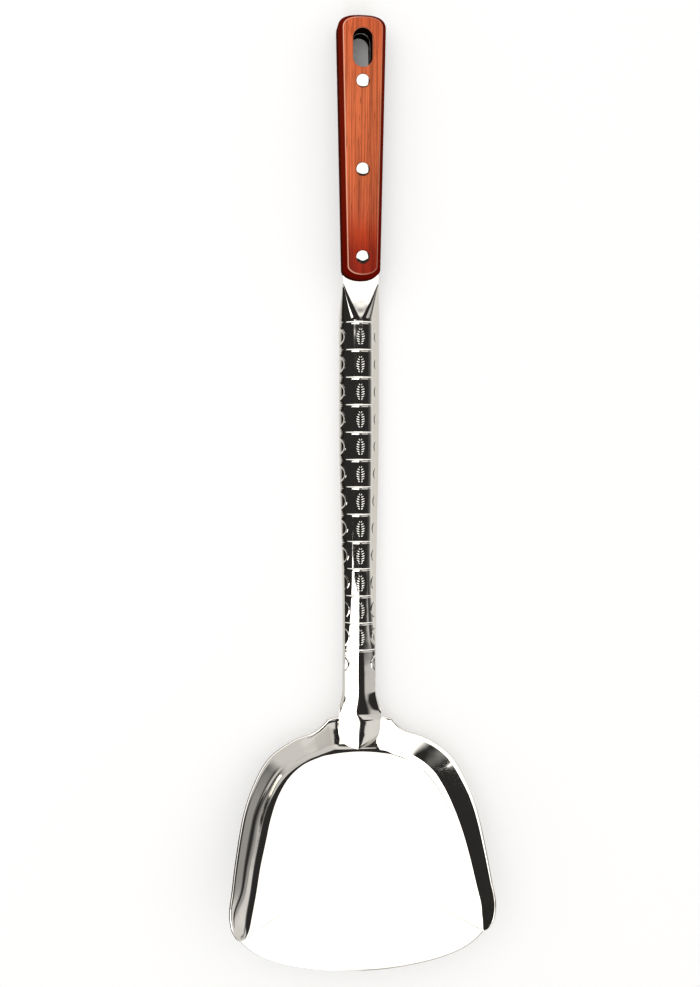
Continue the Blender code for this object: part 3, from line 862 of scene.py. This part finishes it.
def lacquered_hardwood():
    """Red-stained hardwood rubbed with lacquer: straight grain with dark pores, darker towards its low end,
    with painted shade on the bevel, the side and the slot's wall, and a painted highlight along the arris."""
    material = bpy.data.materials.new("lacquered_hardwood")
    material.use_nodes = True
    tree = material.node_tree
    shader = tree.nodes["Principled BSDF"]
    # The grip's own flat places: across, along and over the tang
    where = add_node(tree, "ShaderNodeTexCoord").outputs["Object"]
    corner = (0, CORNER.x, CORNER.y)
    moved = add_node(tree, "ShaderNodeVectorMath", {0: where, 1: corner}, operation="SUBTRACT")
    laid = add_node(tree, "ShaderNodeMapping", {"Vector": moved.outputs[0], "Rotation": (-RISE, 0, 0)})
    x, place, height = add_node(tree, "ShaderNodeSeparateXYZ", {0: laid.outputs[0]}).outputs
    aside = add_node(tree, "ShaderNodeMath", {0: x}, operation="ABSOLUTE").outputs[0]

    # The wood's colour up the grip, darkest at its low end
    whole_grip = {"Value": place, "From Min": GRIP_START, "From Max": GRIP_END}
    along = add_node(tree, "ShaderNodeMapRange", whole_grip)
    stain = add_node(tree, "ShaderNodeValToRGB", {0: along.outputs[0]})
    stops = stain.color_ramp.elements
    stops[0].color = linear("#8a1d0b")
    stops[1].color = linear("#bf5631")
    middle_stops = (
        (0.11, "#96280f"),
        (0.17, "#ac3b1b"),
        (0.27, "#c05936"),
        (0.37, "#c86139"),
        (0.70, "#c7643b"),
    )
    for spot, code in middle_stops:
        stops.new(spot).color = linear(code)

    # Streaks 0.7 mm wide and 38 mm long, a broad figure of 3 by 125 mm, and pores 0.3 mm wide and 8 mm
    # long, here as cells per metre across and along the grain
    grains = []
    for across, lengthwise, detail in ((1500, 26, 4.0), (330, 8, 3.0), (3200, 120, 2.0)):
        scale = (across, lengthwise, across)
        stretched = add_node(tree, "ShaderNodeMapping", {"Vector": laid.outputs[0], "Scale": scale})
        noise = add_node(
            tree,
            "ShaderNodeTexNoise",
            {"Vector": stretched.outputs[0], "Scale": 1.0, "Detail": detail},
        )
        grains.append(noise.outputs[0])
    streaks, figure, pores = grains
    tone = product_of_steps(tree, ((streaks, 0.32, 0.66, 0.60, 1.22), (figure, 0.3, 0.7, 0.86, 1.12)))
    toned = add_node(tree, "ShaderNodeVectorMath", {0: stain.outputs[0], "Scale": tone}, operation="SCALE")

    # Over the stained wood, each layer's colour and where it lies
    layers = (
        # Dark pores
        ("#5e1c0a", ((pores, 0.60, 0.70, 0.0, 0.75),)),
        # Painted highlight along the arris, stronger on its left
        (
            "#eeb598",
            (
                (height, GRIP_FACE - 0.00030, GRIP_FACE - 0.00016, 1.0, 0.0),
                (height, GRIP_FACE - 0.0009, GRIP_FACE - 0.0005),
                (x, -0.004, 0.004, 0.75, 0.25),
            ),
        ),
        # Painted shade: a deep red bevel, then a black-brown side
        ("#5c0a03", ((height, GRIP_FACE - 0.0011, GRIP_FACE - 0.0006, 0.96, 0.0),)),
        ("#2a0f09", ((height, GRIP_FACE - 0.0040, GRIP_FACE - 0.0032, 0.75, 0.0),)),
        # Painted shade on the slot's wall
        (
            "#130a08",
            (
                (aside, 0.0040, 0.0047, 1.0, 0.0),
                (place, SLOT_LOW - 0.001, SLOT_LOW),
                (place, SLOT_HIGH + 0.001, SLOT_HIGH),
                (height, GRIP_FACE - 0.0010, GRIP_FACE - 0.0002, 0.95, 0.0),
            ),
        ),
    )
    colour = toned.outputs[0]
    for code, steps in layers:
        inputs = {"Factor": product_of_steps(tree, steps), 6: colour, 7: linear(code)}
        colour = add_node(tree, "ShaderNodeMix", inputs, data_type="RGBA").outputs["Result"]
    bump = add_node(tree, "ShaderNodeBump", {"Height": streaks, "Strength": 0.15, "Distance": 0.00012})
    # Only the rubbed face has a sheen
    sheen = product_of_steps(tree, ((height, GRIP_FACE - 0.0012, GRIP_FACE - 0.0002, 0.0, 0.09),))
    tree.links.new(colour, shader.inputs["Base Color"])
    tree.links.new(bump.outputs[0], shader.inputs["Normal"])
    tree.links.new(sheen, shader.inputs["Specular IOR Level"])
    shader.inputs["Roughness"].default_value = 0.42
    return material


def matt_white_paper():
    """Matt white paper: nearly white to the eye, with a weak shadow and a painted shadow under the slot.
    What shines sees a painted dark reflection on it, to the left of the shank."""
    material = bpy.data.materials.new("matt_white_paper")
    material.use_nodes = True
    tree = material.node_tree
    shader = tree.nodes["Principled BSDF"]
    shader.inputs["Base Color"].default_value = linear("#faf9f6")
    shader.inputs["Roughness"].default_value = 0.9
    shader.inputs["Specular IOR Level"].default_value = 0.1
    ray = add_node(tree, "ShaderNodeLightPath")
    where = add_node(tree, "ShaderNodeTexCoord").outputs["Object"]
    x, y, _ = add_node(tree, "ShaderNodeSeparateXYZ", {0: where}).outputs
    # Painted reflection: left of the shank, only what shines sees the paper dark
    painted_reflection_side = add_node(tree, "ShaderNodeMapRange", {"Value": x, "From Min": -0.030, "From Max": -0.048})
    dark = add_node(
        tree,
        "ShaderNodeMath",
        {0: painted_reflection_side.outputs[0], 1: ray.outputs["Is Glossy Ray"]},
        operation="MULTIPLY",
    )
    # The paper glows a little, but under the slot it hardly glows and keeps its full shadow: painted shade
    paper_glow = 0.4
    slot_glow = 0.04
    aside = add_node(tree, "ShaderNodeMath", {0: x}, operation="ABSOLUTE")
    glows = []
    for measure, start, end, before, after in (
        (aside.outputs[0], 0.0045, 0.0065, slot_glow, paper_glow),
        (y, 0.270, 0.276, paper_glow, slot_glow),
    ):
        inputs = {"Value": measure, "From Min": start, "From Max": end, "To Min": before, "To Max": after}
        glows.append(add_node(tree, "ShaderNodeMapRange", inputs).outputs[0])
    glow = add_node(tree, "ShaderNodeMath", {0: glows[0], 1: glows[1]}, operation="MAXIMUM")
    pale = add_node(
        tree,
        "ShaderNodeMath",
        {0: ray.outputs["Is Camera Ray"], 1: glow.outputs[0]},
        operation="MULTIPLY",
    )
    white = add_node(tree, "ShaderNodeEmission", {0: linear("#ffffff")})
    shade = add_node(tree, "ShaderNodeEmission", {0: linear("#2b2925")})
    # Seen from below the paper isn't there, so that low views from behind aren't blocked
    back = add_node(tree, "ShaderNodeNewGeometry")
    clear = add_node(tree, "ShaderNodeBsdfTransparent")
    surface = shader.outputs[0]
    for share, over in (
        (pale.outputs[0], white.outputs[0]),
        (dark.outputs[0], shade.outputs[0]),
        (back.outputs["Backfacing"], clear.outputs[0]),
    ):
        surface = add_node(tree, "ShaderNodeMixShader", {0: share, 1: surface, 2: over}).outputs[0]
    tree.links.new(surface, tree.nodes["Material Output"].inputs[0])
    return material


def table_top():
    """A sheet of paper under the turner, sloping in this frame because the turner has tipped back."""
    half = TABLE_HALF
    points = []
    for x, y in ((-half, -half), (half, -half), (half, half), (-half, half)):
        points.append((x, HEEL + y * cos(TABLE_SLOPE), y * sin(TABLE_SLOPE) - TABLE_CLEARANCE))
    table = put_in_scene("table", mesh_of("table", points, [(0, 1, 2, 3)]))
    table.data.materials.append(matt_white_paper())


def studio_world():
    """Soft white room. What shines sees its lights over the sloping table: grey panels round the right,
    bright ones at the front right, a window at the front left, a ceiling panel behind, and the dark
    between them."""
    world = bpy.data.worlds.new("studio")
    bpy.context.scene.world = world
    world.use_nodes = True
    tree = world.node_tree
    tree.nodes.clear()
    ray = add_node(tree, "ShaderNodeLightPath")
    way = add_node(tree, "ShaderNodeTexCoord").outputs["Generated"]
    over = add_node(tree, "ShaderNodeMapping", {"Vector": way, "Rotation": (-TABLE_SLOPE, 0, 0)})
    x, y, z = add_node(tree, "ShaderNodeSeparateXYZ", {0: over.outputs[0]}).outputs
    turn = add_node(tree, "ShaderNodeMath", {0: y, 1: x}, operation="ARCTAN2").outputs[0]
    # Places on a ceiling one unit over the table
    above = add_node(tree, "ShaderNodeMath", {0: z, 1: 0.02}, operation="MAXIMUM").outputs[0]
    right = add_node(tree, "ShaderNodeMath", {0: x, 1: above}, operation="DIVIDE").outputs[0]
    back = add_node(tree, "ShaderNodeMath", {0: y, 1: above}, operation="DIVIDE").outputs[0]

    # The window ends at a slanting line behind, and its sill rises towards the left
    line = add_node(tree, "ShaderNodeMath", {0: right, 1: 0.07, 2: -0.10}, operation="MULTIPLY_ADD")
    before = add_node(tree, "ShaderNodeMath", {0: line.outputs[0], 1: back}, operation="SUBTRACT")
    sill = add_node(
        tree,
        "ShaderNodeMapRange",
        {"Value": turn, "From Min": radians(-100), "From Max": radians(-117), "To Max": 0.40},
    )
    lifted = add_node(tree, "ShaderNodeMath", {0: z, 1: sill.outputs[0]}, operation="SUBTRACT")
    # The bright panels' near edge leans to the right between two heights
    lean_starts = add_node(
        tree,
        "ShaderNodeMapRange",
        {"Value": z, "From Min": 0.36, "From Max": 0.42, "To Max": 0.17},
    )
    lean_ends = add_node(
        tree,
        "ShaderNodeMapRange",
        {"Value": z, "From Min": 0.50, "From Max": 0.60, "To Min": 1.0, "To Max": 0.0},
    )
    lean = add_node(
        tree,
        "ShaderNodeMath",
        {0: lean_starts.outputs[0], 1: lean_ends.outputs[0]},
        operation="MULTIPLY",
    )
    leaning = add_node(tree, "ShaderNodeMath", {0: turn, 1: lean.outputs[0]}, operation="SUBTRACT")

    # Each light has a radiance and soft steps: what is measured, where it is dark, where it is lit
    right_side = ((turn, radians(-80), radians(-62)), (turn, radians(100), radians(70)))
    near_edge = (leaning.outputs[0], radians(-78.6), radians(-76.5))
    window_sides = ((turn, radians(-83), radians(-84.5)), (turn, radians(-140), radians(-126)))
    back_sides = ((turn, radians(12), radians(26)), (turn, radians(168), radians(154)))
    lights = (
        # Grey panels, lighter towards the table
        (0.10, (*right_side, (z, 0.55, 0.35))),
        (0.46, (*right_side, (z, 0.30, 0.19))),
        (1.00, (*right_side, (z, 0.160, 0.115))),
        (1.20, (*right_side, (z, 0.11, 0.06))),
        # Bright panels at the front right
        (0.85, (near_edge, (right, 0.27, 0.40), (right, 1.9, 1.3), (back, -0.165, -0.215))),
        (0.85, (near_edge, (right, 0.12, 0.22), (right, 2.6, 1.8), (back, -0.35, -0.50))),
        (0.95, (near_edge, (turn, radians(-32), radians(-44)), (back, -0.30, -0.36))),
        (1.12, (near_edge, (turn, radians(-62), radians(-68)), (back, -0.30, -0.36))),
        # The window
        (3.20, (*window_sides, (before.outputs[0], -0.02, 0.02), (lifted.outputs[0], 0.0, 0.25))),
        # The ceiling panel overhead, and where it goes on behind
        (2.05, ((back, 0.085, 0.105), (right, -0.85, -0.65), (right, 0.32, 0.24))),
        (1.90, ((back, 0.30, 0.45), (z, 0.02, 0.08), *back_sides)),
    )
    radiance = 0.035
    for light, steps in lights:
        inputs = {"Factor": product_of_steps(tree, steps), 2: radiance, 3: light}
        radiance = add_node(tree, "ShaderNodeMix", inputs, data_type="FLOAT").outputs[0]
    shine = add_node(tree, "ShaderNodeBackground", {0: linear("#ffffff"), 1: radiance}).outputs[0]
    soft = add_node(tree, "ShaderNodeBackground", {0: linear("#ffffff"), 1: 0.9}).outputs[0]
    white = add_node(tree, "ShaderNodeBackground", {0: linear("#ffffff"), 1: 1.0}).outputs[0]
    glossy = ray.outputs["Is Glossy Ray"]
    camera = ray.outputs["Is Camera Ray"]
    lit = add_node(tree, "ShaderNodeMixShader", {0: glossy, 1: soft, 2: shine}).outputs[0]
    seen = add_node(tree, "ShaderNodeMixShader", {0: camera, 1: lit, 2: white}).outputs[0]
    add_node(tree, "ShaderNodeOutputWorld", {0: seen})


def soft_lamp():
    """A large soft lamp overhead and a little to the left, whose weak shadows fall to the right."""
    data = bpy.data.lights.new("soft_lamp", "AREA")
    data.shape = "DISK"
    data.size = 0.9
    data.energy = 3.2
    lamp = put_in_scene("soft_lamp", data)
    lamp.location = (-0.38, 0.10, 1.15)
    aim = Vector((0.0, 0.14, 0.03)) - lamp.location
    lamp.rotation_euler = aim.to_track_quat("-Z", "Y").to_euler()
    lamp.visible_glossy = False


def front_left_card():
    """A white card low over the table at the front left. Only what shines sees it."""
    radiance = 3.2
    data = bpy.data.lights.new("front_left_card", "AREA")
    data.shape = "RECTANGLE"
    data.size = 0.71
    data.size_y = 0.58
    data.energy = radiance * pi * data.size * data.size_y
    card = put_in_scene("front_left_card", data)
    over_table = Matrix.Translation((0, HEEL, 0)) @ Matrix.Rotation(TABLE_SLOPE, 4, "X")
    card.matrix_world = over_table @ Matrix.Translation((-0.345, -0.272, 0.48))
    card.visible_diffuse = False
    card.visible_camera = False


def photo_camera():
    """A normal lens half a metre away, aimed at the middle of the shank."""
    distance = 0.48
    tilt = radians(13.9384)
    lean = radians(6.1676)
    roll = radians(-1.8165)
    aim = Vector((-0.0044165, 0.1368338, 0.045))
    back = Vector((-sin(lean) * cos(tilt), -sin(tilt), cos(lean) * cos(tilt)))
    across = Vector((0, 1, 0)).cross(back).normalized()
    upward = back.cross(across)
    right = cos(roll) * across + sin(roll) * upward
    up = -sin(roll) * across + cos(roll) * upward
    data = bpy.data.cameras.new("camera")
    data.lens = 45.575
    data.clip_start = 0.01
    data.clip_end = 20
    camera = put_in_scene("camera", data)
    turn = Matrix((right, up, back)).transposed().to_4x4()
    camera.matrix_world = Matrix.Translation(aim + back * distance) @ turn
    bpy.context.scene.camera = camera


steel = polished_stainless()
wood = lacquered_hardwood()
make_blade(steel)
make_shank(steel)
make_tang(steel)
make_ears(pressed_stainless())
make_scales(wood)
make_rivets(steel)
table_top()
studio_world()
soft_lamp()
front_left_card()
photo_camera()
bpy.context.scene.view_settings.view_transform = "Standard"
